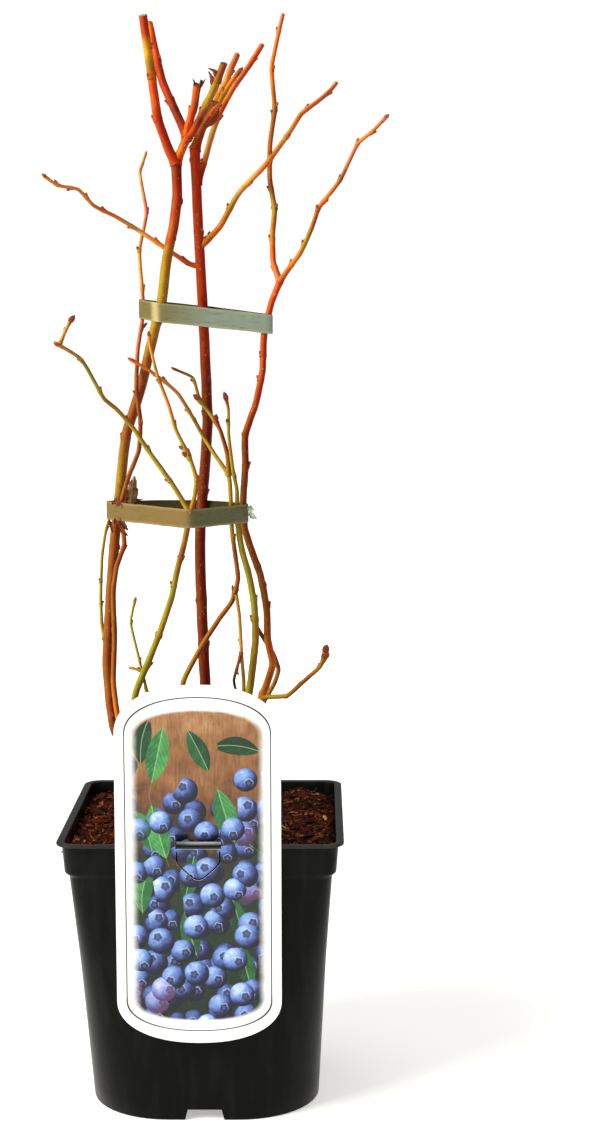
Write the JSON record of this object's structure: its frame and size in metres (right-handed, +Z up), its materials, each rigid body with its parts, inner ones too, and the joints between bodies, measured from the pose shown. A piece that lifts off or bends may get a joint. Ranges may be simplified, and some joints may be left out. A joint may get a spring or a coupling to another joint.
{
  "type": "blueberry bush in a pot",
  "caption": "Bare winter blueberry bush of slim upright canes, held by two plastic ties, in a square black nursery pot with a hanging picture label.",
  "frame": {"origin": "middle of the pot's flat underside, on the ground", "axes": "+Z up the canes, front with the label towards -Y, +X to the right as seen from the front"},
  "size_m": [0.1778, 0.1509, 0.5857],
  "materials": {
    "bark_dark_red": "satin bark",
    "bark_red": "satin bark",
    "bark_orange": "satin bark",
    "bark_brown": "satin bark",
    "bark_olive": "satin bark",
    "bark_green": "satin bark",
    "twig_mass_red": "satin bark",
    "twig_mass_olive": "satin bark",
    "black_plastic": "satin",
    "potting_mix": "rough",
    "label_card": "printed, satin",
    "tie_plastic": "satin"
  },
  "bodies": {
    "root": {"bough_left": "bark_orange", "bough_left_fork": "bark_red", "bough_left_inner": "bark_red", "bough_left_outer": "bark_red", "bough_right": "bark_orange", "bough_right_spreading": "bark_orange", "bough_right_upright": "bark_red", "bough_top_right": "bark_red", "cane_back_loop": "bark_brown", "cane_centre": "bark_dark_red", "cane_crossing": "bark_brown", "cane_front": "bark_green", "cane_green_right": "bark_green", "cane_left": "bark_olive", "cane_low_right": "bark_orange", "cane_right": "bark_red", "cane_slim": "bark_orange", "cane_thin_right": "bark_olive", "label": "label_card", "pot": "black_plastic", "potting_mix": "potting_mix", "tie_lower": "tie_plastic", "tie_upper": "tie_plastic", "twig_dark_hook": "bark_brown", "twig_front_left": "bark_green", "twig_front_left_tip": "bark_olive", "twig_front_right": "bark_green", "twig_left_green": "bark_green", "twig_over_centre": "bark_olive", "twig_tie_right": "bark_olive", "twigs_centre_head": "twig_mass_red", "twigs_left_head": "twig_mass_red", "twigs_low_green": "twig_mass_olive"}
  },
  "joints": []
}
